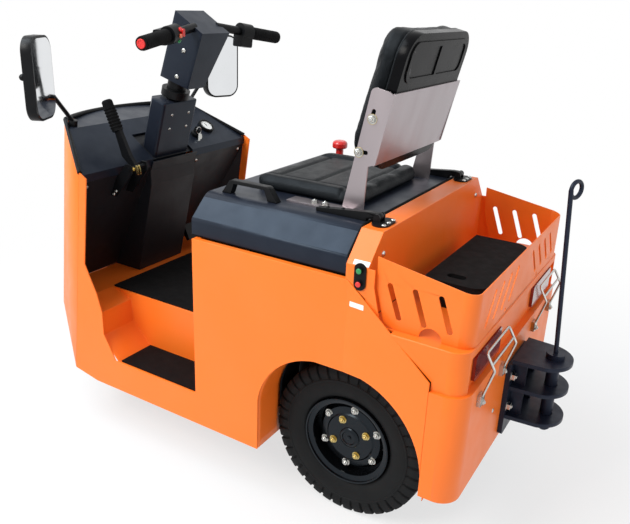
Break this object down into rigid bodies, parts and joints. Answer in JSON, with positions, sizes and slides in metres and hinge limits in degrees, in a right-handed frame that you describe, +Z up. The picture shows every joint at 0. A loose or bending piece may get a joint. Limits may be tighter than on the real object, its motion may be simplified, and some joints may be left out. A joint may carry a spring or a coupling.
{
  "type": "electric baggage tow tractor",
  "caption": "Sit-on three-wheel electric tow tractor with folded steel body, step-through floor, hinged seat lid, rear basket and a pin hitch with stacked tongues.",
  "frame": {"origin": "centre of the bounding box at floor level", "axes": "+X forward, +Y to the driver's left, +Z up"},
  "size_m": [1.588, 0.912, 1.195],
  "materials": {
    "tyre": "black rubber tyre",
    "rim": "glossy black wheel disc",
    "orange": "orange powder coat",
    "dark": "satin dark blue-grey paint",
    "hitch": "dark painted hitch",
    "black": "black plastic",
    "rubber": "black rubber",
    "vinyl": "black vinyl seat",
    "steel": "bare grey steel",
    "zinc": "bright zinc wire and fasteners",
    "red": "red plastic",
    "lens": "red lamp lens",
    "mirror": "mirror glass",
    "battery": "battery case"
  },
  "bodies": {
    "chassis_body": {"column_tube": "black", "column_shroud": "dark", "front_cowl": "orange", "side_panel_left": "orange", "side_panel_right": "orange", "floor_pan": "orange", "seat_box_front": "orange", "bulkhead_beam": "orange", "rear_body": "orange", "basket": "orange", "tray_platform": "orange", "floor_mats": "rubber", "console_panel": "dark", "lower_panel": "dark", "chassis": "dark", "battery": "battery", "drive_axle": "black", "hitch": "hitch", "lid_hinge_bases": "dark", "instruments": "black", "handbrake": "black", "brake_pedal": "black", "mirror_housings": "black", "mirror_glasses": "mirror", "tail_lamps": "lens", "lamp_guards": "zinc", "side_buttons": "black"},
    "lid_body": {"lid": "dark", "lid_handle": "black", "lid_hinge_arms": "dark", "stop_button": "red", "seat_cushion": "vinyl", "backrest_pad": "vinyl", "backrest_shell": "black", "seat_bracket": "steel"},
    "steering_body": {"steering_head": "dark", "handlebar": "black", "grips": "rubber", "switch_blocks": "black", "steering_shaft": "black"},
    "fork_body": {"steering_fork": "dark"},
    "front_wheel_body": {"front_tyre": "tyre", "front_rim": "rim"},
    "rear_wheel_left_body": {"rear_tyre_left": "tyre", "rear_rim_left": "rim"},
    "rear_wheel_right_body": {"rear_tyre_right": "tyre", "rear_rim_right": "rim"},
    "tow_pin_body": {"tow_pin": "hitch"}
  },
  "joints": [
    {"name": "rear_wheel_left", "type": "hinge", "parent": "chassis_body", "child": "rear_wheel_left_body", "pos_m": [-0.344, 0.234, 0.2075], "axis": [0, 1, 0], "continuous": true},
    {"name": "rear_wheel_right", "type": "hinge", "parent": "chassis_body", "child": "rear_wheel_right_body", "pos_m": [-0.344, -0.234, 0.2075], "axis": [0, 1, 0], "continuous": true},
    {"name": "steering", "type": "hinge", "parent": "chassis_body", "child": "steering_body", "pos_m": [0.448, 0, 0.943], "axis": [-0.2756, 0, 0.9613], "range_deg": [-45, 45]},
    {"name": "fork_turn", "type": "hinge", "parent": "chassis_body", "child": "fork_body", "pos_m": [0.59, 0, 0.3], "axis": [0, 0, 1], "range_deg": [-45, 45]},
    {"name": "front_wheel", "type": "hinge", "parent": "fork_body", "child": "front_wheel_body", "pos_m": [0.59, 0, 0.1525], "axis": [0, 1, 0], "continuous": true},
    {"name": "seat_lid", "type": "hinge", "parent": "chassis_body", "child": "lid_body", "pos_m": [-0.376, 0, 0.793], "axis": [0, -1, 0], "range_deg": [0, 45]},
    {"name": "tow_pin_lift", "type": "slide", "parent": "chassis_body", "child": "tow_pin_body", "axis": [0, 0, 1], "range_m": [0, 0.185]}
  ],
  "couplings": [
    {"joint": "fork_turn", "follows": "steering", "ratio": 1}
  ]
}
